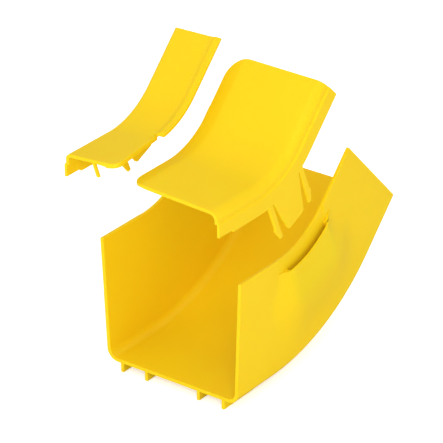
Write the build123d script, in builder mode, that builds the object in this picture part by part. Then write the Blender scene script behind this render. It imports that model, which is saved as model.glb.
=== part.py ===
"""Inside vertical bend for a fibre raceway, with a split cover lifted off.

An open U-shaped channel turns upward through the bend. Its cover is split lengthwise into a wide
right half and a narrow left half. Each half drops a tongue and two barbed legs into a hooded slot
on the outside of the channel's wall. The halves stand clear of the channel, lifted square to the
middle of the bend.

Frame: X across the channel, Y along its level end, Z up. The origin is at the level end's face,
in the middle, on the underside of the floor. Millimetres.
"""

import os
from math import atan, cos, radians, sin, sqrt, tan

from build123d import *

# Channel section
channel_width_top = 125.0
channel_width_floor = 117.0
channel_height = 98.0
wall = 2.8
floor_corner_radius = 9.0
rim_radius = 0.7

# Route
bend_angle = 45.0
rim_bend_radius = 75.0
straight_end = 46.0

# Ribs under the floor
rib_depth = 7.3
rib_thickness = 2.5
rib_length = 42.0
rib_places = (-45.5, -23.5, 23.5, 45.5)

# Cover section
cover_thickness = 2.6
skirt_thickness = 2.2
skirt_clearance = 0.3
seat_clearance = 0.3
skirt_overlap = 11.0
step_height = 1.4
step_width = 1.5
shoulder_height = 9.4
shoulder_radius = 7.0
skirt_relief_length = 16.0
skirt_relief_depth = 1.8

# Wide half
wide_split_x = -14.5
wide_crown_rise = 3.0
wide_roll_start = -2.5
wide_roll_drop = 2.8
wide_roll_radius = 16.0
wide_corner_radius = 17.0

# Narrow half
narrow_shoulder_height = 8.8
narrow_shoulder_radius = 4.2
narrow_tilt = 4.2
narrow_reach_cut = 7.5
narrow_plate_x = -27.0
narrow_front_corner_x = -18.5
narrow_front_corner_radius = 6.5
narrow_fold_end_x = -26.0
narrow_fold_length = 56.0
narrow_fold_depth = 3.6
narrow_fold_thickness = 2.2
joggle_start_angle = 8.0
joggle_rise = 1.9
joggle_run = 3.0
joggle_edge_x = -19.0
finger_length = 11.0
finger_lean = 4.2
finger_width = 2.2
finger_depth = 2.6
finger_root_x = -40.5

# Latch
tongue_root_half_width = 16.0
tongue_root_flare = 2.0
tongue_tip_half_width = 9.8
tongue_reach = 41.5
tongue_tip_radius = 3.0
leg_inner = 17.1
leg_width = 4.9
leg_reach = 41.0
leg_tip_width = 3.0
barb_reach = 29.5
barb_catch = 1.0
barb_land = 1.5
barb_width = 0.9
blade_thickness = 2.1

# Latch hood on the channel wall
slot_depth_below_rim = 11.6
slot_half_length = 24.2
slot_lip = 4.0
slot_clearance = 0.3
tongue_back_clearance = 1.2
recess_half_width = 29.0
barb_room = 1.5
pocket_waist_reach = 35.0
pocket_foot_half_width = 21.6
pocket_spare = 2.5
hood_skin = 1.3
hood_end_slope = 15.0
hood_fade = 34.0

# Distance each half is lifted off
wide_lift = 64.5
narrow_lift = 78.4
lift_lean = 3.0

# Worked out from the sizes above
draft = (channel_width_top - channel_width_floor) / 2 / channel_height
bend_centre_y = straight_end
bend_centre_z = channel_height + rim_bend_radius
middle_angle = bend_angle / 2
skirt_inner_x = channel_width_top / 2 + skirt_clearance
skirt_outer_x = skirt_inner_x + skirt_thickness
shoulder_x = skirt_outer_x - step_width
ledge_height = channel_height + seat_clearance
skirt_bottom = channel_height - skirt_overlap
blade_outer_x = skirt_outer_x
blade_inner_x = blade_outer_x - blade_thickness
slot_inner_x = blade_inner_x - tongue_back_clearance
slot_outer_x = blade_outer_x + slot_clearance
slot_radius = rim_bend_radius + slot_depth_below_rim
pocket_foot_reach = tongue_reach + pocket_spare
pocket_half_width = slot_half_length + barb_room

bend_axis = Axis((0, bend_centre_y, bend_centre_z), (1, 0, 0))
latch_way = Vector(0, -sin(radians(middle_angle)), cos(radians(middle_angle)))
middle_way = Vector(0, cos(radians(middle_angle)), sin(radians(middle_angle)))
lift_angle = middle_angle + lift_lean
lift_way = Vector(0, -sin(radians(lift_angle)), cos(radians(lift_angle)))


def outer_wall_x(height):
    """Half width outside the walls at a height above the floor's underside."""
    return channel_width_top / 2 - draft * (channel_height - height)


def section_plane(angle, beyond=0):
    """Plane across the route, with the section's own X and height.

    It stands at an angle of the bend, or beyond that angle on the straight run in line with it.
    """
    turn = radians(angle)
    origin = (
        0,
        bend_centre_y + bend_centre_z * sin(turn) + beyond * cos(turn),
        bend_centre_z - bend_centre_z * cos(turn) + beyond * sin(turn),
    )
    return Plane(origin=origin, x_dir=(1, 0, 0), z_dir=(0, -cos(turn), -sin(turn)))


def latch_plane(side, x):
    """Plane along a wall at the middle of the bend: X along the route, Y up from the rim."""
    rim = Vector(0, bend_centre_y, bend_centre_z) - latch_way * rim_bend_radius
    return Plane(origin=rim + Vector(side * x, 0, 0), x_dir=middle_way * side, z_dir=(side, 0, 0))


def wall_plane(side):
    """Plane up the middle of a wall's thickness, with the latch plane's directions."""
    lean = atan(draft)
    middle = latch_plane(side, channel_width_top / 2 - wall / 2)
    facing = Vector(side * cos(lean), 0, 0) - latch_way * sin(lean)
    return Plane(origin=middle.origin, x_dir=middle.x_dir, z_dir=facing)


def plan_plane(section, height, tilt=0):
    """Plane square to a section, level with a height in its middle, with Y along the route."""
    turn = radians(tilt)
    across = section.x_dir * cos(turn) + section.y_dir * sin(turn)
    facing = section.y_dir * cos(turn) - section.x_dir * sin(turn)
    return Plane(origin=section.origin + section.y_dir * height, x_dir=across, z_dir=facing)


def mirrored(points, side):
    """Section points put on the right side (1) or the left side (-1)."""
    return [(side * x, y) for x, y in points]


level_end = section_plane(0, -straight_end)
raised_end = section_plane(bend_angle, straight_end)

# The line that every section follows
with BuildLine(Plane.YZ) as route:
    level_run = Line((0, 0), (straight_end, 0))
    turn_run = JernArc(level_run @ 1, level_run % 1, radius=bend_centre_z, arc_size=bend_angle)
    PolarLine(turn_run @ 1, straight_end, direction=turn_run % 1)


def slot_end_height(half_length):
    """Height of the slot's curve against the rim, at a distance from the middle."""
    return rim_bend_radius - sqrt(slot_radius**2 - half_length**2)


def hood_outline(plane, spread, fade):
    """Outline of a hood below its slot's curve, spread at its ends and run out at its foot."""
    half = pocket_half_width + hood_skin + spread
    foot_half = pocket_foot_half_width + hood_skin + spread
    top = slot_end_height(half)
    foot = -pocket_foot_reach - hood_skin - fade
    with BuildSketch(plane) as hood:
        with BuildLine():
            Polyline(
                (-half, top),
                (-half, -pocket_waist_reach),
                (-foot_half, foot),
                (foot_half, foot),
                (half, -pocket_waist_reach),
                (half, top),
            )
            ThreePointArc((half, top), (0, rim_bend_radius - slot_radius), (-half, top))
        make_face()
    return hood.sketch


def pocket_outline(side):
    """Outline of the pocket behind a hood, open at its slot and wider below the slot's ends."""
    top = slot_end_height(slot_half_length) + slot_clearance
    lip = top - slot_lip
    crest = rim_bend_radius - slot_radius + slot_clearance
    with BuildSketch(latch_plane(side, slot_inner_x)) as pocket:
        with BuildLine():
            Polyline(
                (-slot_half_length, top),
                (-slot_half_length, lip),
                (-pocket_half_width, lip - barb_room),
                (-pocket_half_width, -pocket_waist_reach),
                (-pocket_foot_half_width, -pocket_foot_reach),
                (pocket_foot_half_width, -pocket_foot_reach),
                (pocket_half_width, -pocket_waist_reach),
                (pocket_half_width, lip - barb_room),
                (slot_half_length, lip),
                (slot_half_length, top),
            )
            ThreePointArc((slot_half_length, top), (0, crest), (-slot_half_length, top))
        make_face()
    return pocket.sketch


def recess_outline(side):
    """Outline of the shallow recess that leads from the rim down to a slot."""
    slot_end = slot_end_height(slot_half_length)
    slot_middle = rim_bend_radius - slot_radius
    rim_end = rim_bend_radius - sqrt(rim_bend_radius**2 - recess_half_width**2)
    with BuildSketch(latch_plane(side, slot_inner_x)) as recess:
        with BuildLine():
            Polyline(
                (-slot_half_length, slot_end),
                (-recess_half_width, rim_end),
                (-recess_half_width, 2 * rim_end),
                (recess_half_width, 2 * rim_end),
                (recess_half_width, rim_end),
                (slot_half_length, slot_end),
            )
            ThreePointArc(
                (slot_half_length, slot_end), (0, slot_middle), (-slot_half_length, slot_end)
            )
        make_face()
    return recess.sketch


with BuildPart() as channel:
    with BuildSketch(level_end) as channel_section:
        with BuildLine():
            outside = FilletPolyline(
                (-channel_width_top / 2, channel_height),
                (-channel_width_floor / 2, 0),
                (channel_width_floor / 2, 0),
                (channel_width_top / 2, channel_height),
                radius=floor_corner_radius,
            )
            Line(outside @ 1, outside @ 0)
        make_face()
        with BuildLine():
            inner_top = channel_height + wall
            inside = FilletPolyline(
                (-outer_wall_x(inner_top) + wall, inner_top),
                (-outer_wall_x(wall) + wall, wall),
                (outer_wall_x(wall) - wall, wall),
                (outer_wall_x(inner_top) - wall, inner_top),
                radius=floor_corner_radius - wall,
            )
            Line(inside @ 1, inside @ 0)
        make_face(mode=Mode.SUBTRACT)
        fillet(channel_section.vertices().group_by(Axis.Y)[-1], rim_radius)
    sweep(path=route.wire())

    # Ribs run back from both end faces and fade out before the bend
    for end, inward in ((level_end, -level_end.z_dir), (raised_end, raised_end.z_dir)):
        for rib_x in rib_places:
            rib_origin = end.origin + end.x_dir * rib_x
            rib_side = Plane(origin=rib_origin, x_dir=inward, z_dir=inward.cross(end.y_dir))
            with BuildSketch(rib_side):
                with BuildLine():
                    Polyline(
                        (0, wall / 2),
                        (0, -rib_depth),
                        (rib_length - rib_depth, -rib_depth),
                        (rib_length, wall / 2),
                        close=True,
                    )
                make_face()
            extrude(amount=rib_thickness / 2, both=True)

    # A hood stands proud of each wall, with a pocket behind it
    for side in (1, -1):
        hood_root = hood_outline(wall_plane(side), hood_end_slope, hood_fade)
        hood_face = hood_outline(latch_plane(side, slot_outer_x + hood_skin), 0, 0)
        loft([hood_root, hood_face], ruled=True)
        pocket_width = slot_outer_x - slot_inner_x
        extrude(pocket_outline(side), amount=pocket_width, mode=Mode.SUBTRACT)
        extrude(recess_outline(side), amount=wall, mode=Mode.SUBTRACT)


def skirt_outline():
    """Corners of the stepped skirt on the right side, from its step down and up to its ledge."""
    step_foot = ledge_height
    return [
        (shoulder_x, step_foot + step_height),
        (skirt_outer_x, step_foot),
        (skirt_outer_x, skirt_bottom),
        (skirt_inner_x, skirt_bottom),
        (skirt_inner_x, ledge_height),
        (shoulder_x - cover_thickness, ledge_height),
    ]


def tongue_outline(side, reach_cut):
    """Outline of the tongue that hangs from the middle of a skirt."""
    root = -skirt_overlap / 2
    tip = reach_cut - tongue_reach
    with BuildSketch(latch_plane(side, blade_inner_x)) as tongue:
        with BuildLine():
            Polyline(
                (-tongue_root_half_width - tongue_root_flare, root),
                (-tongue_root_half_width, -skirt_overlap),
                (-tongue_tip_half_width, tip),
                (tongue_tip_half_width, tip),
                (tongue_root_half_width, -skirt_overlap),
                (tongue_root_half_width + tongue_root_flare, root),
                close=True,
            )
        make_face()
        fillet(tongue.vertices().group_by(Axis.Y)[0], tongue_tip_radius)
    return tongue.sketch


def legs_outline(side, reach_cut):
    """Outline of the barbed legs beside the tongue."""
    root = -skirt_overlap / 2
    leg_outer = leg_inner + leg_width
    tip = reach_cut - leg_reach
    barb_root = reach_cut - barb_reach
    barb_top = barb_root - barb_catch
    with BuildSketch(latch_plane(side, blade_inner_x)) as legs:
        for end in (1, -1):
            with BuildLine():
                Polyline(
                    (end * leg_inner, root),
                    (end * leg_outer, root),
                    (end * leg_outer, barb_root),
                    (end * (leg_outer + barb_width), barb_top),
                    (end * (leg_outer + barb_width), barb_top - barb_land),
                    (end * (leg_inner + leg_tip_width), tip),
                    (end * leg_inner, tip),
                    close=True,
                )
            make_face()
    return legs.sketch


def corner_outline(plane, corner_x, inward_y, radius):
    """What is left outside a round corner, seen square to a cover's plate."""
    with BuildSketch(plane) as corner:
        with Locations((corner_x + radius / 2, inward_y * radius / 2)):
            Rectangle(radius, radius)
        with Locations((corner_x + radius, inward_y * radius)):
            Circle(radius, mode=Mode.SUBTRACT)
    return corner.sketch


def relief_outline(side):
    """Stretch of a skirt's lower edge at the level end that is cut a little shorter."""
    with BuildSketch(plan_plane(level_end, skirt_bottom)) as relief:
        with Locations((side * (skirt_inner_x + skirt_outer_x) / 2, skirt_relief_length / 2)):
            Rectangle(2 * skirt_thickness, skirt_relief_length)
    return relief.sketch


plate_top = channel_height + shoulder_height
crown_top = plate_top + wide_crown_rise
narrow_plate_middle = channel_height + narrow_shoulder_height + shoulder_x * tan(radians(narrow_tilt))


def narrow_top(x):
    """Height of the narrow half's tilted plate at an X."""
    return narrow_plate_middle + x * tan(radians(narrow_tilt))


def shoulder_corners(sketch, side):
    """Corners of a cover's section, the shoulder's inside and outside corner last."""
    return sketch.vertices().sort_by(lambda corner: side * corner.X + corner.Y)

with BuildPart() as wide_cover:
    with BuildSketch(level_end) as wide_section:
        with BuildLine():
            Polyline(
                (wide_split_x, crown_top - wide_roll_drop),
                (wide_roll_start, crown_top),
                (shoulder_x, plate_top),
                *skirt_outline(),
                (shoulder_x - cover_thickness, plate_top - cover_thickness),
                (wide_roll_start, crown_top - cover_thickness),
                (wide_split_x, crown_top - wide_roll_drop - cover_thickness),
                close=True,
            )
        make_face()
        fillet(shoulder_corners(wide_section, 1)[-2], shoulder_radius - cover_thickness)
        fillet(shoulder_corners(wide_section, 1)[-1], shoulder_radius)
        crown_lining = wide_section.vertices().group_by(Axis.X)[1].sort_by(Axis.Y)[0]
        fillet(crown_lining, wide_roll_radius - cover_thickness)
        fillet(wide_section.vertices().sort_by(Axis.Y)[-1], wide_roll_radius)
    sweep(path=route.wire())
    for end, inward_y in ((level_end, 1), (raised_end, -1)):
        corner_plane = plan_plane(end, crown_top)
        corner = corner_outline(corner_plane, wide_split_x, inward_y, wide_corner_radius)
        extrude(corner, amount=2 * shoulder_height, both=True, mode=Mode.SUBTRACT)
    extrude(relief_outline(1), amount=skirt_relief_depth, mode=Mode.SUBTRACT)
    extrude(tongue_outline(1, 0), amount=blade_thickness)
    extrude(legs_outline(1, 0), amount=blade_thickness)

with BuildPart() as narrow_cover:
    lining_x = cover_thickness - shoulder_x
    with BuildSketch(level_end) as narrow_section:
        with BuildLine():
            Polyline(
                (narrow_plate_x, narrow_top(narrow_plate_x)),
                (-shoulder_x, narrow_top(-shoulder_x)),
                *mirrored(skirt_outline(), -1),
                (lining_x, narrow_top(lining_x) - cover_thickness),
                (narrow_plate_x, narrow_top(narrow_plate_x) - cover_thickness),
                close=True,
            )
        make_face()
        fillet(shoulder_corners(narrow_section, -1)[-2], narrow_shoulder_radius - cover_thickness)
        fillet(shoulder_corners(narrow_section, -1)[-1], narrow_shoulder_radius)
    sweep(path=route.wire())

    # The level end's plate widens to a slanted edge that is folded down
    front_plane = plan_plane(level_end, narrow_plate_middle, narrow_tilt)
    front_root_x = narrow_plate_x - joggle_run
    front_thickness = cover_thickness * cos(radians(narrow_tilt))
    with BuildSketch(front_plane) as front_plate:
        with BuildLine():
            Polyline(
                (front_root_x, 0),
                (narrow_front_corner_x, 0),
                (narrow_fold_end_x, narrow_fold_length),
                (front_root_x, narrow_fold_length),
                close=True,
            )
        make_face()
        front_corner = front_plate.vertices().group_by(Axis.Y)[0].sort_by(Axis.X)[-1]
        fillet(front_corner, narrow_front_corner_radius)
    extrude(amount=-front_thickness)
    with BuildSketch(front_plane):
        add(front_plate.sketch_local)
        with Locations((-narrow_fold_thickness, 0)):
            add(front_plate.sketch_local, mode=Mode.SUBTRACT)
    extrude(amount=-narrow_fold_depth)

    # Round the bend and up the raised end the edge is joggled up instead
    joggle_x = narrow_plate_x + joggle_run
    joggle = [
        (narrow_plate_x, narrow_top(narrow_plate_x)),
        (joggle_x, narrow_top(joggle_x) + joggle_rise),
        (joggle_edge_x, narrow_top(joggle_edge_x) + joggle_rise),
        (joggle_edge_x, narrow_top(joggle_edge_x) + joggle_rise - cover_thickness),
        (joggle_x, narrow_top(joggle_x) + joggle_rise - cover_thickness),
        (narrow_plate_x, narrow_top(narrow_plate_x) - cover_thickness),
    ]
    with BuildSketch(section_plane(joggle_start_angle)) as joggle_start:
        with BuildLine():
            Polyline(*joggle, close=True)
        make_face()
    revolve(axis=bend_axis, revolution_arc=bend_angle - joggle_start_angle)
    with BuildSketch(raised_end):
        with BuildLine():
            Polyline(*joggle, close=True)
        make_face()
    extrude(amount=straight_end)

    # A slim finger hangs from the front edge and leans towards the split
    with BuildSketch(level_end):
        finger_top = narrow_top(finger_root_x) - cover_thickness / 2
        finger_foot = finger_top - finger_length
        with BuildLine():
            Polyline(
                (finger_root_x, finger_top),
                (finger_root_x + finger_width, finger_top),
                (finger_root_x + finger_width + finger_lean, finger_foot),
                (finger_root_x + finger_lean, finger_foot),
                close=True,
            )
        make_face()
    extrude(amount=-finger_depth)
    extrude(relief_outline(-1), amount=skirt_relief_depth, mode=Mode.SUBTRACT)
    extrude(tongue_outline(-1, narrow_reach_cut), amount=blade_thickness)
    extrude(legs_outline(-1, narrow_reach_cut), amount=blade_thickness)

# Both halves stand where they are lifted to
wide_cover.part.move(Location(lift_way * wide_lift))
narrow_cover.part.move(Location(lift_way * narrow_lift))

os.makedirs("parts", exist_ok=True)
channel.part.label = "channel"
wide_cover.part.label = "wide_cover"
narrow_cover.part.label = "narrow_cover"
export_step(channel.part, "parts/channel.step")
export_step(wide_cover.part, "parts/wide_cover.step")
export_step(narrow_cover.part, "parts/narrow_cover.step")
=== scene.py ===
"""Studio scene of a yellow fibre raceway bend with its split cover lifted off.

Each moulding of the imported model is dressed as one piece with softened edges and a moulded
finish. A studio and a camera at the photograph's angle complete the picture.
"""

import logging
import math
from dataclasses import dataclass, field
from enum import Enum
from itertools import combinations

import bmesh
import bpy
from mathutils import Matrix, Vector


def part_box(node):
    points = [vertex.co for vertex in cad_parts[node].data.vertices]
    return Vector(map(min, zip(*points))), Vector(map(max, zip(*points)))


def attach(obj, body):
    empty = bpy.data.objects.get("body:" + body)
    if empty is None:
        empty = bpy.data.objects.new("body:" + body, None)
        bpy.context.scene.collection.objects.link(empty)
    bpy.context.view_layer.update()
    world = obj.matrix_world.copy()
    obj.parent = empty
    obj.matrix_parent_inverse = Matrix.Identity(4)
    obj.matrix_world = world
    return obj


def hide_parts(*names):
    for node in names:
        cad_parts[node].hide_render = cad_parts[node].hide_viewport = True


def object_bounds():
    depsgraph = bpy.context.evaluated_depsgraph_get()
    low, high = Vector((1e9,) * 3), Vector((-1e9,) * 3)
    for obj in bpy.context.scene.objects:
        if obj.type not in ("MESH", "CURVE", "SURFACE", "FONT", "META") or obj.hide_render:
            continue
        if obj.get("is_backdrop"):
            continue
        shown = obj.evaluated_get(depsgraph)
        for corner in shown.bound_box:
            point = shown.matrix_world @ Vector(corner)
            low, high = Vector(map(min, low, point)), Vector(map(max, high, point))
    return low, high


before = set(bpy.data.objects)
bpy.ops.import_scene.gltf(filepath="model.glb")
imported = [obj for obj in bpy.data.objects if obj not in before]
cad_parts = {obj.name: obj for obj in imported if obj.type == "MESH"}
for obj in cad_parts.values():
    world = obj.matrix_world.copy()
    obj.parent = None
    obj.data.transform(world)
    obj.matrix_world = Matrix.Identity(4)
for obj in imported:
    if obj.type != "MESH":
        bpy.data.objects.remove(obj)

MM = 0.001
# Sockets of a Mix node that mixes colours: its other kinds of data have sockets of the same names.
MIX_SHARE, MIX_FIRST, MIX_SECOND, MIXED = 0, 6, 7, 2
log = logging.getLogger("raceway")


def linear(hex_colour: str) -> tuple[float, float, float, float]:
    """Turns an sRGB hex colour into linear RGBA.

    Args:
        hex_colour: Six hex digits, with or without a leading hash.

    Returns:
        The linear colour with full alpha.
    """
    digits = hex_colour.lstrip("#")
    channels = [int(digits[i : i + 2], 16) / 255 for i in (0, 2, 4)]
    # The numbers are those of the sRGB standard's own curve.
    r, g, b = (c / 12.92 if c <= 0.04045 else ((c + 0.055) / 1.055) ** 2.4 for c in channels)
    return (r, g, b, 1.0)


def add_node(
    tree: bpy.types.NodeTree,
    kind: str,
    settings: dict[str, object] | None = None,
    inputs: dict[str | int, object] | None = None,
    links: dict[str | int, bpy.types.NodeSocket] | None = None,
) -> bpy.types.Node:
    """Adds one shader node with its settings, socket values and incoming links.

    Args:
        tree: The node tree that gets the node.
        kind: The node's type name.
        settings: Attributes to set on the node.
        inputs: Constant values by input name or index.
        links: Output sockets to link in, by input name or index.

    Returns:
        The new node.
    """
    node = tree.nodes.new(kind)
    for name, value in (settings or {}).items():
        setattr(node, name, value)
    for name, value in (inputs or {}).items():
        node.inputs[name].default_value = value
    for name, socket in (links or {}).items():
        tree.links.new(socket, node.inputs[name])
    return node


class Body(Enum):
    """Rigid bodies of the part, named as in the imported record."""

    CHANNEL = "channel"
    WIDE_COVER = "wide_cover"
    NARROW_COVER = "narrow_cover"


class LightRole(Enum):
    """What a studio light is for."""

    KEY = "key"
    FILL = "fill"


@dataclass(frozen=True)
class MouldedPlastic:
    """Injection moulded plastic with a fine satin grain from the tool's surface.

    Attributes:
        name: Material name, for the plastic and how its surface was made.
        colour: Body colour in sRGB hex.
        deep_colour: Colour of the slightly richer flow bands.
        roughness: Mean roughness of the satin skin.
        roughness_spread: How far the roughness wanders either way.
        grain_mm: Size of the grain left by the tool's surface.
        grain_height_mm: Height of that grain.
        flow_mm: Width of the soft flow bands.
        sink_mm: Spacing of the slow waviness of the skin.
        sink_height_mm: Height of that waviness.
        glow: Share of the light that scatters inside the plastic before it comes out.
        glow_mm: How far red, green and blue light scatter.
        flow_edges: Heights of the flow pattern between which one colour turns to the other.
        ior: Index of refraction.
        specular: Strength of the skin's reflections; 0.5 is the plain value for its index.
    """

    name: str
    colour: str
    deep_colour: str
    roughness: float
    roughness_spread: float
    grain_mm: float
    grain_height_mm: float
    flow_mm: float
    sink_mm: float
    sink_height_mm: float
    glow: float
    glow_mm: tuple[float, float, float]
    flow_edges: tuple[float, float] = (0.35, 0.65)
    ior: float = 1.47
    specular: float = 0.16

    def build(self) -> bpy.types.Material:
        """Makes the material.

        Returns:
            The finished material.
        """
        material = bpy.data.materials.new(self.name)
        material.use_nodes = True
        tree = material.node_tree
        tree.nodes.clear()
        place = add_node(tree, "ShaderNodeTexCoord").outputs["Object"]
        flow = add_node(
            tree,
            "ShaderNodeTexNoise",
            inputs={"Scale": 1 / (self.flow_mm * MM), "Detail": 2.0, "Roughness": 0.4},
            links={"Vector": place},
        )
        band = add_node(
            tree,
            "ShaderNodeMapRange",
            inputs={"From Min": self.flow_edges[0], "From Max": self.flow_edges[1]},
            links={"Value": flow.outputs["Fac"]},
        )
        tint = add_node(
            tree,
            "ShaderNodeMix",
            settings={"data_type": "RGBA"},
            inputs={MIX_FIRST: linear(self.colour), MIX_SECOND: linear(self.deep_colour)},
            links={MIX_SHARE: band.outputs["Result"]},
        )
        grain = add_node(
            tree,
            "ShaderNodeTexNoise",
            inputs={"Scale": 1 / (self.grain_mm * MM), "Detail": 3.0, "Roughness": 0.6},
            links={"Vector": place},
        )
        sheen = add_node(
            tree,
            "ShaderNodeMapRange",
            inputs={
                "To Min": self.roughness - self.roughness_spread,
                "To Max": self.roughness + self.roughness_spread,
            },
            links={"Value": flow.outputs["Fac"]},
        )
        sink = add_node(
            tree,
            "ShaderNodeTexNoise",
            inputs={"Scale": 1 / (self.sink_mm * MM), "Detail": 1.0},
            links={"Vector": place},
        )
        wave = add_node(
            tree,
            "ShaderNodeBump",
            inputs={"Strength": 1.0, "Distance": self.sink_height_mm * MM},
            links={"Height": sink.outputs["Fac"]},
        )
        skin = add_node(
            tree,
            "ShaderNodeBump",
            inputs={"Strength": 1.0, "Distance": self.grain_height_mm * MM},
            links={"Height": grain.outputs["Fac"], "Normal": wave.outputs["Normal"]},
        )
        shader = add_node(
            tree,
            "ShaderNodeBsdfPrincipled",
            inputs={
                "IOR": self.ior,
                "Specular IOR Level": self.specular,
                "Subsurface Weight": self.glow,
                "Subsurface Radius": self.glow_mm,
                "Subsurface Scale": MM,
            },
            links={
                "Base Color": tint.outputs[MIXED],
                "Roughness": sheen.outputs["Result"],
                "Normal": skin.outputs["Normal"],
            },
        )
        add_node(
            tree,
            "ShaderNodeOutputMaterial",
            links={"Surface": shader.outputs["BSDF"]},
        )
        return material


@dataclass(frozen=True)
class StudioPaper:
    """Seamless white studio paper that stays white and still takes a soft shadow.

    Attributes:
        name: Material name, for the paper and its surface.
        colour: Paper colour in sRGB hex.
        mirrored_colour: Its colour in reflections, as if the paper ended near the part.
        lift: Light added for the camera alone, so that the open paper reads as white.
        fibre_mm: Size of the paper's fibre pattern.
        tooth_mm: Height of that pattern.
        tooth_share: How much of that height the light follows.
    """

    # Uncoated paper off the roll is matt: it has no sheen, and its fibres only break up its shade.
    name: str = "paper_white_seamless_matt"
    colour: str = "#FAFAFA"
    mirrored_colour: str = "#8A8A8A"
    lift: float = 0.5
    fibre_mm: float = 1.5
    tooth_mm: float = 0.02
    tooth_share: float = 0.2

    def build(self) -> bpy.types.Material:
        """Makes the material.

        Returns:
            The finished material.
        """
        material = bpy.data.materials.new(self.name)
        material.use_nodes = True
        tree = material.node_tree
        tree.nodes.clear()
        fibre = add_node(
            tree,
            "ShaderNodeTexNoise",
            inputs={"Scale": 1 / (self.fibre_mm * MM), "Detail": 2.0},
            links={"Vector": add_node(tree, "ShaderNodeTexCoord").outputs["Object"]},
        )
        tooth = add_node(
            tree,
            "ShaderNodeBump",
            inputs={"Strength": self.tooth_share, "Distance": self.tooth_mm * MM},
            links={"Height": fibre.outputs["Fac"]},
        )
        path = add_node(tree, "ShaderNodeLightPath")
        tone = add_node(
            tree,
            "ShaderNodeMix",
            settings={"data_type": "RGBA"},
            inputs={MIX_FIRST: linear(self.colour), MIX_SECOND: linear(self.mirrored_colour)},
            links={MIX_SHARE: path.outputs["Is Glossy Ray"]},
        )
        paper = add_node(
            tree,
            "ShaderNodeBsdfDiffuse",
            links={"Color": tone.outputs[MIXED], "Normal": tooth.outputs["Normal"]},
        )
        lift = add_node(
            tree,
            "ShaderNodeMath",
            settings={"operation": "MULTIPLY"},
            inputs={1: self.lift},
            links={0: path.outputs["Is Camera Ray"]},
        )
        glow = add_node(
            tree,
            "ShaderNodeEmission",
            inputs={"Color": linear(self.colour)},
            links={"Strength": lift.outputs["Value"]},
        )
        both = add_node(
            tree,
            "ShaderNodeAddShader",
            links={0: paper.outputs["BSDF"], 1: glow.outputs["Emission"]},
        )
        add_node(
            tree,
            "ShaderNodeOutputMaterial",
            links={"Surface": both.outputs["Shader"]},
        )
        return material


def ease(value: float) -> float:
    """Eases from 0 to 1 with level ends.

    Args:
        value: Share of the way, held between 0 and 1.

    Returns:
        The eased share.
    """
    share = min(max(value, 0.0), 1.0)
    return share * share * (3 - 2 * share)


@dataclass(frozen=True)
class Route:
    """Line that the raceway follows, and the outside of its walls along it.

    Attributes:
        axis_mm: Y and Z of the axis that the bend turns about.
        bend_deg: Angle of the bend.
        rim_radius_mm: Radius of the walls' rims about that axis.
        half_width_mm: Half the width over the rims.
        draft: How far a wall leans in for each unit of depth.
    """

    axis_mm: tuple[float, float] = (46.0, 173.0)
    bend_deg: float = 45.0
    rim_radius_mm: float = 75.0
    half_width_mm: float = 62.5
    draft: float = 4.0 / 98.0

    def depth(self, point: Vector) -> float:
        """Gives a point's depth below the rims, square to the route.

        Args:
            point: The point, in millimetres.

        Returns:
            The depth, in millimetres.
        """
        y, down = point.y - self.axis_mm[0], self.axis_mm[1] - point.z
        turn = min(max(math.atan2(y, down), 0.0), math.radians(self.bend_deg))
        return y * math.sin(turn) + down * math.cos(turn) - self.rim_radius_mm

    def wall_x(self, point: Vector) -> float:
        """Gives the half width outside the walls at a point's depth.

        Args:
            point: The point, in millimetres.

        Returns:
            The half width, in millimetres.
        """
        return self.half_width_mm - self.draft * self.depth(point)

    def across_bend(self) -> tuple[Vector, Vector]:
        """Gives the directions along the route and up from it at the bend's middle.

        Returns:
            The direction along the route and the direction up.
        """
        middle = math.radians(self.bend_deg / 2)
        along = Vector((0.0, math.cos(middle), math.sin(middle)))
        return along, Vector((0.0, -math.sin(middle), math.cos(middle)))


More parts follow.
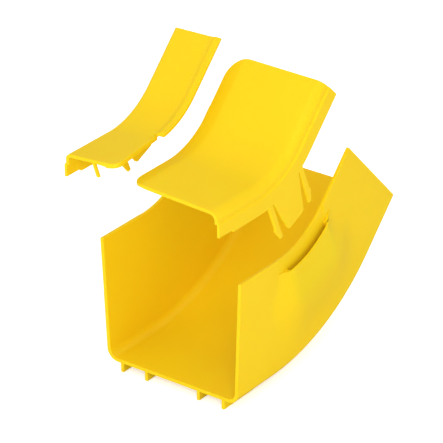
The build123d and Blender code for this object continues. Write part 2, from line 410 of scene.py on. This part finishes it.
@dataclass(frozen=True)
class LatchHood:
    """Hood over each latch pocket, which swells out of the wall so softly that it has no edge.

    Attributes:
        route: The line that the channel follows.
        slot_radius_mm: Radius of the slot's curve about the bend's axis.
        face_x_mm: Half width over the hoods.
        flat_half_mm: Half length of the hood's flat.
        end_run_mm: Length over which it runs out beside the slot.
        low_run_mm: Length over which it runs out further down.
        low_depth_mm: Depth below the slot at which that longer run is reached.
        foot_start_mm: Depth below the rim at which its foot starts to run out.
        foot_end_mm: Depth below the rim at which it has run out.
        reach_mm: Half length of wall that is cut finely enough for it.
        search_mm: Half length of wall whose faces are cut or set at all.
        least_outward: Lowest outward part of a face's normal at which it is outside.
        cell_mm: Size of the cells that the wall is cut into.
        cut_mm: How near a cut a point counts as on it.
        near_mm: How near the slot's curve a point counts as on it.
        proud_mm: How far a point may stand off the wall and still be the slot's lower edge.
        skin_mm: Depth over which the hood's outside is told from the pocket's inside.
        crisp_deg: Angle above which an edge of the slot or the recess is left crisp.
        pocket_mm: Half lengths and depths below the rim of the outline that holds the pocket.
    """

    route: Route
    slot_radius_mm: float = 86.6
    face_x_mm: float = 66.6
    flat_half_mm: float = 21.0
    end_run_mm: float = 14.0
    low_run_mm: float = 32.0
    low_depth_mm: float = 34.0
    foot_start_mm: float = 34.0
    foot_end_mm: float = 86.0
    reach_mm: float = 56.0
    search_mm: float = 112.0
    least_outward: float = -0.5
    cell_mm: float = 2.0
    cut_mm: float = 0.001
    near_mm: float = 0.45
    proud_mm: float = 0.05
    skin_mm: float = 0.1
    crisp_deg: float = 35.0
    pocket_mm: tuple[tuple[float, float], ...] = ((26.5, 35.0), (22.3, 44.8))

    def shape(self, shell: bmesh.types.BMesh) -> None:
        """Shapes the hoods of both walls, and marks their cells so that they stay fine.

        Args:
            shell: The channel's mesh, in metres.
        """
        for side in (1, -1):
            self._cut(shell, side)
            for face in self._outside(shell, side):
                face.tag = self._place(face.calc_center_median() / MM)[0] < self.reach_mm
                for corner in face.verts:
                    self._set(corner, side)
        shell.normal_update()
        for edge in shell.edges:
            if self.near(edge) and edge.calc_face_angle(0.0) > math.radians(self.crisp_deg):
                edge.smooth = False

    def near(self, edge: bmesh.types.BMEdge) -> bool:
        """Tells whether an edge is in the part of the channel that has the hoods."""
        beside, deep = self._place((edge.verts[0].co + edge.verts[1].co) / 2 / MM)
        return beside < self.reach_mm and deep < self.foot_end_mm

    def _below_slot(self, point: Vector) -> float:
        """Gives how far a point is below the slot's curve.

        Args:
            point: The point, in millimetres.

        Returns:
            The distance, square to the curve.
        """
        y, z = self.route.axis_mm
        return math.hypot(point.y - y, point.z - z) - self.slot_radius_mm

    def _outside(self, shell: bmesh.types.BMesh, side: int) -> list[bmesh.types.BMFace]:
        """Finds the faces outside one wall, on it or proud of it.

        Args:
            shell: The channel's mesh.
            side: 1 for the right wall, -1 for the left.

        Returns:
            The faces.
        """
        found = []
        for face in shell.faces:
            middle = face.calc_center_median() / MM
            beside, deep = self._place(middle)
            if face.normal.x * side < self.least_outward or beside > self.search_mm:
                continue
            if side * middle.x < self.face_x_mm - self.skin_mm and self._over_pocket(beside, deep):
                continue
            if side * middle.x > self.route.wall_x(middle) - self.skin_mm:
                found.append(face)
        return found

    def _place(self, point: Vector) -> tuple[float, float]:
        """Gives where a point is, seen from the side and against the bend's middle.

        Args:
            point: The point, in millimetres.

        Returns:
            Its distance from the middle along the route, and its depth below the rim there.
        """
        along, up = self.route.across_bend()
        offset = point - Vector((0.0, *self.route.axis_mm))
        return abs(along.dot(offset)), -up.dot(offset) - self.route.rim_radius_mm

    def _over_pocket(self, beside: float, deep: float) -> bool:
        """Tells whether a place is over the pocket.

        Args:
            beside: Distance from the bend's middle along the route.
            deep: Depth below the rim.

        Returns:
            True over the pocket, which also takes in the recess above it.
        """
        (waist, waist_deep), (foot, foot_deep) = self.pocket_mm
        if deep > foot_deep:
            return False
        taper = max(deep - waist_deep, 0.0) / (foot_deep - waist_deep)
        return beside < waist + (foot - waist) * taper

    def _cut(self, shell: bmesh.types.BMesh, side: int) -> None:
        """Cuts one wall's outside into small cells.

        Args:
            shell: The channel's mesh.
            side: 1 for the right wall, -1 for the left.
        """
        shell.normal_update()
        along, up = self.route.across_bend()
        axis = Vector((0.0, *self.route.axis_mm)) * MM
        cuts = [(along, step) for step in self._steps(-self.reach_mm, self.reach_mm)]
        low = -self.route.rim_radius_mm - self.foot_end_mm
        cuts += [(up, step) for step in self._steps(low, low + self.foot_end_mm + self.cell_mm)]
        faces = bmesh.ops.triangulate(shell, faces=self._outside(shell, side))["faces"]
        # A dictionary keeps each element once and in order, so every run cuts alike.
        geometry = list(dict.fromkeys(item for f in faces for item in (f, *f.edges, *f.verts)))
        for way, step in cuts:
            result = bmesh.ops.bisect_plane(
                shell,
                geom=geometry,
                dist=self.cut_mm * MM,
                plane_co=axis + way * step * MM,
                plane_no=way,
            )
            geometry = result["geom"]

    def _steps(self, start: float, end: float) -> list[float]:
        """Gives evenly spaced steps from a start up to an end.

        Args:
            start: The first step.
            end: The last step at most.

        Returns:
            The steps.
        """
        return [start + i * self.cell_mm for i in range(int((end - start) / self.cell_mm) + 1)]

    def _set(self, corner: bmesh.types.BMVert, side: int) -> None:
        """Puts one point on the hood's surface.

        Args:
            corner: The point.
            side: 1 for the right wall, -1 for the left.
        """
        point = corner.co / MM
        below_slot = self._below_slot(point)
        wall_x = self.route.wall_x(point)
        flush = side * point.x < wall_x + self.proud_mm
        if below_slot < -self.near_mm or (below_slot < self.near_mm and flush):
            return
        beside, deep = self._place(point)
        widening = ease(below_slot / self.low_depth_mm)
        run = self.end_run_mm + (self.low_run_mm - self.end_run_mm) * widening
        share = 1 - ease((beside - self.flat_half_mm) / run)
        share *= 1 - ease((deep - self.foot_start_mm) / (self.foot_end_mm - self.foot_start_mm))
        corner.co.x = side * (wall_x + share * (self.face_x_mm - wall_x)) * MM


@dataclass(frozen=True)
class SoftJoggle:
    """Joggled edge of the narrow half, with a broad soft valley at its foot.

    Attributes:
        foot_x_mm: X of its foot.
        crest_x_mm: X of its crest.
        near_mm: How near those an edge counts as one of its folds.
        gentle_deg: Smallest angle of a fold.
        steep_deg: Largest angle of a fold.
        foot_ease_mm: How far the foot is eased to either side.
        crest_ease_mm: How far the crest is eased to either side.
        steps: Steps in each eased fold.
    """

    foot_x_mm: float = -27.0
    crest_x_mm: float = -24.0
    near_mm: float = 0.3
    gentle_deg: float = 20.0
    steep_deg: float = 50.0
    foot_ease_mm: float = 2.9
    crest_ease_mm: float = 0.5
    steps: int = 6

    def shape(self, shell: bmesh.types.BMesh) -> None:
        """Eases the folds.

        Args:
            shell: The narrow half's mesh, in metres.
        """
        folds = ((self.foot_x_mm, self.foot_ease_mm), (self.crest_x_mm, self.crest_ease_mm))
        for fold_x, ease_mm in folds:
            shell.normal_update()
            # A clamp would shrink the whole fold to what its shortest edge allows.
            bmesh.ops.bevel(
                shell,
                geom=[edge for edge in shell.edges if self._folds(edge, fold_x)],
                offset=ease_mm * MM,
                offset_type="OFFSET",
                segments=self.steps,
                profile=0.5,
                affect="EDGES",
                clamp_overlap=False,
            )

    def _folds(self, edge: bmesh.types.BMEdge, fold_x: float) -> bool:
        """Tells whether an edge is one of the folds at an X.

        Args:
            edge: The edge.
            fold_x: The fold's X, in millimetres.

        Returns:
            True for a fold.
        """
        beside = all(abs(v.co.x / MM - fold_x) < self.near_mm for v in edge.verts)
        angle = math.degrees(edge.calc_face_angle(0.0))
        return beside and self.gentle_deg < angle < self.steep_deg


@dataclass
class Moulding:
    """One moulded piece of the raceway, dressed over its solid.

    Attributes:
        body: The body that the piece rides on, which is also its solid's name.
        slot: The record's material slot; not used.
        finish: The plastic that it is moulded in.
        edge_mm: Radius of its softened edges.
        edge_steps: Steps in each softened edge.
        sharp_deg: Angle above which an edge is softened.
        flat_deg: Angle below which neighbouring faces count as one flat.
        acute_deg: Angle between two edges below which their corner is left sharp.
        stub_mm: Length below which an edge is a leftover that is removed.
        merge_mm: Distance within which points are joined.
        flat_weight: How far the larger faces set the shading, from 1 to 100.
        hood: Shape of its latch hoods, where it has them.
        joggle: Shape of its joggled edge, where it has one.
    """

    body: Body
    slot: str
    finish: bpy.types.Material
    edge_mm: float = 0.45
    edge_steps: int = 2
    sharp_deg: float = 28.0
    flat_deg: float = 0.05
    acute_deg: float = 42.0
    stub_mm: float = 0.01
    merge_mm: float = 0.002
    flat_weight: int = 70
    hood: LatchHood | None = None
    joggle: SoftJoggle | None = None

    def build(self) -> bpy.types.Object:
        """Makes the dressed piece and puts it in its solid's place.

        Returns:
            The dressed object.
        """
        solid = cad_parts[self.body.value]
        shell = bmesh.new()
        shell.from_mesh(solid.data)
        shell.transform(solid.matrix_world)
        bmesh.ops.remove_doubles(shell, verts=shell.verts, dist=self.merge_mm * MM)
        self._flatten(shell)
        if self.joggle:
            self.joggle.shape(shell)
        self._soften(shell)
        if self.hood:
            self.hood.shape(shell)
            bmesh.ops.remove_doubles(shell, verts=shell.verts, dist=self.merge_mm * MM)
            self._flatten(shell)
        # A rounded corner may stand a little past the solid, so each point is held in its box.
        low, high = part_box(self.body.value)
        for corner in shell.verts:
            corner.co = [min(max(c, a), b) for c, a, b in zip(corner.co, low, high)]
        for face in shell.faces:
            face.smooth = True
        mesh = bpy.data.meshes.new(f"{self.body.value}_shell")
        shell.to_mesh(mesh)
        shell.free()
        piece = bpy.data.objects.new(f"{self.body.value}_moulding", mesh)
        bpy.context.scene.collection.objects.link(piece)
        mesh.materials.append(self.finish)
        even = piece.modifiers.new("flat_faces_stay_flat", "WEIGHTED_NORMAL")
        even.mode = "FACE_AREA"
        even.weight = self.flat_weight
        even.keep_sharp = True
        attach(piece, self.body.value)
        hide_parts(self.body.value)
        return piece

    def _flatten(self, shell: bmesh.types.BMesh) -> None:
        """Joins faces that lie in one flat, apart from those that are tagged to stay fine.

        Args:
            shell: The piece's mesh, in metres.
        """
        bmesh.ops.dissolve_limit(
            shell,
            angle_limit=math.radians(self.flat_deg),
            verts=[v for v in shell.verts if not any(f.tag for f in v.link_faces)],
            edges=[e for e in shell.edges if not any(f.tag for f in e.link_faces)],
            use_dissolve_boundaries=False,
        )

    def _soften(self, shell: bmesh.types.BMesh) -> None:
        """Rounds a piece's sharp edges, apart from those beside the hoods.

        Args:
            shell: The piece's mesh, in metres.
        """
        bmesh.ops.dissolve_degenerate(shell, edges=shell.edges, dist=self.stub_mm * MM)
        shell.normal_update()
        for edge in shell.edges:
            sharp = edge.calc_face_angle(0.0) > math.radians(self.sharp_deg)
            edge.tag = sharp and not (self.hood and self.hood.near(edge))
        # A clamp would shrink the radius everywhere to what the shortest edge allows.
        bmesh.ops.bevel(
            shell,
            geom=[e for e in shell.edges if e.tag and all(self._blunt(v) for v in e.verts)],
            offset=self.edge_mm * MM,
            offset_type="OFFSET",
            segments=self.edge_steps,
            profile=0.5,
            affect="EDGES",
            loop_slide=True,
            clamp_overlap=False,
        )

    def _blunt(self, corner: bmesh.types.BMVert) -> bool:
        """Tells whether the tagged edges at a corner are far enough apart to be rounded.

        Args:
            corner: The corner.

        Returns:
            False where two of them run nearly the same way.
        """
        tagged = [edge for edge in corner.link_edges if edge.tag]
        ways = [edge.other_vert(corner).co - corner.co for edge in tagged]
        acute = math.radians(self.acute_deg)
        return all(one.angle(other) > acute for one, other in combinations(ways, 2))


@dataclass(frozen=True)
class StudioLight:
    """One soft box.

    Attributes:
        role: What the light is for.
        place_mm: Where it stands.
        size_mm: Width and height of its face.
        watts: Power.
        colour: Colour in sRGB hex.
    """

    role: LightRole
    place_mm: tuple[float, float, float]
    size_mm: tuple[float, float]
    watts: float
    colour: str = "#FFFFFF"

    def build(self, aim: Vector) -> bpy.types.Object:
        """Makes the light and aims it.

        Args:
            aim: The point that it faces, in metres.

        Returns:
            The light object.
        """
        data = bpy.data.lights.new(f"{self.role.value}_light", "AREA")
        data.shape = "RECTANGLE"
        data.size, data.size_y = (side * MM for side in self.size_mm)
        data.energy = self.watts
        data.color = linear(self.colour)[:3]
        lamp = bpy.data.objects.new(data.name, data)
        lamp.location = Vector(self.place_mm) * MM
        lamp.rotation_euler = (aim - lamp.location).to_track_quat("-Z", "Y").to_euler()
        bpy.context.scene.collection.objects.link(lamp)
        return lamp


@dataclass
class Studio:
    """White studio: paper floor, soft boxes and even surrounding light.

    Attributes:
        floor_mm: Side of the paper floor.
        floor_gap_mm: Gap between the part's lowest point and the floor.
        ambient: Strength of the surrounding light.
        ambient_mirrored: Strength of the surroundings in reflections, as dark studio walls.
        ambient_colour: Colour of the surrounding light in sRGB hex.
        lights: The soft boxes.
    """

    floor_mm: float = 12000.0
    floor_gap_mm: float = 0.2
    ambient: float = 0.88
    ambient_mirrored: float = 0.35
    ambient_colour: str = "#FFFFFF"
    lights: list[StudioLight] = field(
        default_factory=lambda: [
            StudioLight(LightRole.KEY, (900.0, -1150.0, 900.0), (700.0, 700.0), 10.0),
            StudioLight(LightRole.FILL, (100.0, -1800.0, 350.0), (900.0, 900.0), 4.0),
        ]
    )

    def build(self, low: Vector, high: Vector) -> None:
        """Makes the studio round the part.

        Args:
            low: The part's lowest corner, in metres.
            high: The part's highest corner, in metres.
        """
        self._floor(low.z - self.floor_gap_mm * MM)
        self._surroundings()
        for light in self.lights:
            light.build((low + high) / 2)

    def _floor(self, height: float) -> None:
        """Makes the paper floor.

        Args:
            height: Its height, in metres.
        """
        half = self.floor_mm * MM / 2
        mesh = bpy.data.meshes.new("paper_floor")
        corners = [(-half, -half, 0), (half, -half, 0), (half, half, 0), (-half, half, 0)]
        mesh.from_pydata(corners, [], [(0, 1, 2, 3)])
        floor = bpy.data.objects.new("paper_floor", mesh)
        floor.location.z = height
        mesh.materials.append(StudioPaper().build())
        bpy.context.scene.collection.objects.link(floor)
        floor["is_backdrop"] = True

    def _surroundings(self) -> None:
        """Makes the even light, and the white that the camera sees past the floor."""
        world = bpy.data.worlds.new("white_studio")
        world.use_nodes = True
        tree = world.node_tree
        tree.nodes.clear()
        path = add_node(tree, "ShaderNodeLightPath")
        mirrored = add_node(
            tree,
            "ShaderNodeMapRange",
            inputs={"To Min": self.ambient, "To Max": self.ambient_mirrored},
            links={"Value": path.outputs["Is Glossy Ray"]},
        )
        strength = add_node(
            tree,
            "ShaderNodeMapRange",
            inputs={"To Max": 1.0},
            links={"Value": path.outputs["Is Camera Ray"], "To Min": mirrored.outputs["Result"]},
        )
        light = add_node(
            tree,
            "ShaderNodeBackground",
            inputs={"Color": linear(self.ambient_colour)},
            links={"Strength": strength.outputs["Result"]},
        )
        add_node(
            tree,
            "ShaderNodeOutputWorld",
            links={"Surface": light.outputs["Background"]},
        )
        bpy.context.scene.world = world


@dataclass(frozen=True)
class PhotoCamera:
    """Camera at the photograph's angle.

    Attributes:
        azimuth_deg: Turn round the part; zero looks along +Y.
        elevation_deg: Height above the horizon.
        roll_deg: Turn about the line of sight.
        distance_mm: Distance from the point looked at.
        target_mm: The point looked at.
        focal_px: Focal length in pixels of the photograph.
        picture_px: Width of the photograph in pixels.
        sensor_mm: Sensor width.
    """

    azimuth_deg: float = 36.87
    elevation_deg: float = 27.06
    roll_deg: float = -0.59
    distance_mm: float = 2072.63
    target_mm: tuple[float, float, float] = (42.34, 5.08, 139.84)
    focal_px: float = 3000.0
    picture_px: float = 443.0
    sensor_mm: float = 36.0

    def build(self) -> bpy.types.Object:
        """Makes the camera and gives it to the scene.

        Returns:
            The camera object.
        """
        a, e, r = (math.radians(v) for v in (self.azimuth_deg, self.elevation_deg, self.roll_deg))
        back = Vector((math.sin(a) * math.cos(e), -math.cos(a) * math.cos(e), math.sin(e)))
        level = Vector((math.cos(a), math.sin(a), 0.0))
        upright = back.cross(level)
        right = level * math.cos(r) + upright * math.sin(r)
        up = upright * math.cos(r) - level * math.sin(r)
        data = bpy.data.cameras.new("photo_camera")
        data.sensor_width = self.sensor_mm
        data.lens = self.focal_px / self.picture_px * self.sensor_mm
        data.dof.use_dof = False
        camera = bpy.data.objects.new("photo_camera", data)
        turn = Matrix((right, up, back)).transposed().to_4x4()
        place = (Vector(self.target_mm) + back * self.distance_mm) * MM
        camera.matrix_world = Matrix.Translation(place) @ turn
        bpy.context.scene.collection.objects.link(camera)
        bpy.context.scene.camera = camera
        return camera


def main() -> None:
    """Dresses each moulding and logs its face count, then builds the studio and the camera."""
    logging.basicConfig(level=logging.INFO, format="%(message)s")
    bpy.context.scene.view_settings.view_transform = "Standard"
    low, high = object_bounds()
    # ABS that is injection moulded in a finely etched tool has a satin skin: an even, strong colour
    # under a broad, weak sheen. Faint flow bands and a slow waviness keep it from looking flat, and
    # the light that scatters inside it warms its hollows. Its real grain, about 0.05 mm, is too
    # fine to show, so it is drawn ten times as coarse.
    plastic = MouldedPlastic(
        name="abs_yellow_injection_moulded_satin",
        colour="#F0CD16",
        deep_colour="#EECA13",
        roughness=0.42,
        roughness_spread=0.05,
        grain_mm=0.5,
        grain_height_mm=0.006,
        flow_mm=60.0,
        sink_mm=35.0,
        sink_height_mm=0.02,
        glow=0.3,
        glow_mm=(4.0, 2.2, 0.4),
    ).build()
    mouldings = [
        Moulding(Body.CHANNEL, "channel_plastic", plastic, hood=LatchHood(Route())),
        Moulding(Body.WIDE_COVER, "cover_plastic", plastic),
        Moulding(Body.NARROW_COVER, "cover_plastic", plastic, joggle=SoftJoggle()),
    ]
    for moulding in mouldings:
        piece = moulding.build()
        log.info("%s: %d faces", piece.name, len(piece.data.polygons))
    Studio().build(low, high)
    PhotoCamera().build()
    bpy.context.view_layer.update()


if __name__ == "__main__":
    main()
